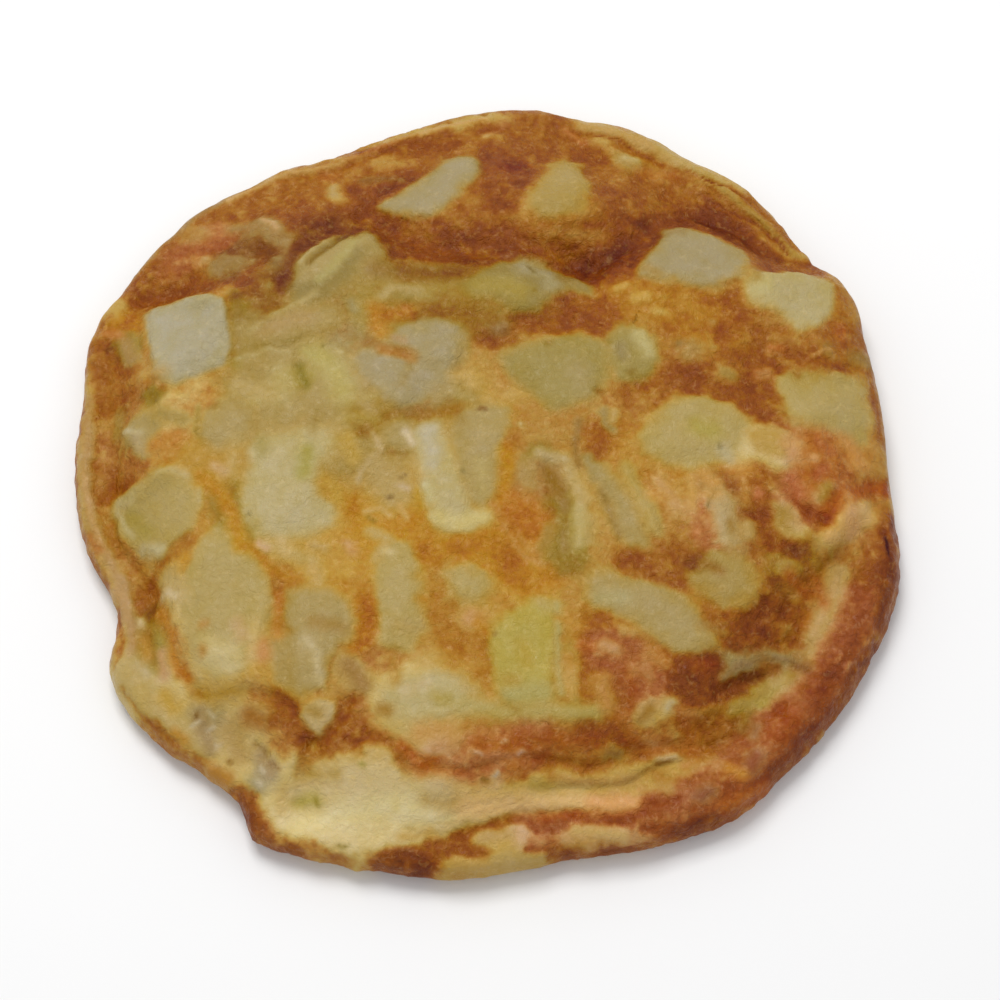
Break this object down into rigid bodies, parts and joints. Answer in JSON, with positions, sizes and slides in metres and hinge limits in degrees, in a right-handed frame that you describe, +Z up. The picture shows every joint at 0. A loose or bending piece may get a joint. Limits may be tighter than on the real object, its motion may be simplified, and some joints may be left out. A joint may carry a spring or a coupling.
{
  "type": "spanish omelette",
  "caption": "Round pan-fried potato omelette with a rolled browned rim and potato dice showing in its folded top.",
  "frame": {"origin": "centre of the bounding box in plan, on the plane of the flat underside", "axes": "+Z up through the thickness, the near side towards -Y, the thick rolled rim towards +X and -Y"},
  "size_m": [0.1811, 0.185, 0.0215],
  "materials": {
    "fried_egg": "satin",
    "cooked_potato": "satin"
  },
  "bodies": {
    "root": {"egg": "fried_egg", "potato_01": "cooked_potato", "potato_02": "cooked_potato", "potato_03": "cooked_potato", "potato_04": "cooked_potato", "potato_05": "cooked_potato", "potato_06": "cooked_potato", "potato_07": "cooked_potato", "potato_08": "cooked_potato", "potato_09": "cooked_potato", "potato_10": "cooked_potato", "potato_11": "cooked_potato", "potato_12": "cooked_potato", "potato_13": "cooked_potato", "potato_14": "cooked_potato", "potato_15": "cooked_potato", "potato_16": "cooked_potato", "potato_17": "cooked_potato", "potato_18": "cooked_potato", "potato_19": "cooked_potato", "potato_20": "cooked_potato", "potato_21": "cooked_potato", "potato_22": "cooked_potato", "potato_23": "cooked_potato", "potato_24": "cooked_potato", "potato_25": "cooked_potato", "potato_26": "cooked_potato", "potato_27": "cooked_potato", "potato_28": "cooked_potato", "potato_29": "cooked_potato", "potato_30": "cooked_potato", "potato_31": "cooked_potato", "potato_32": "cooked_potato"}
  },
  "joints": []
}
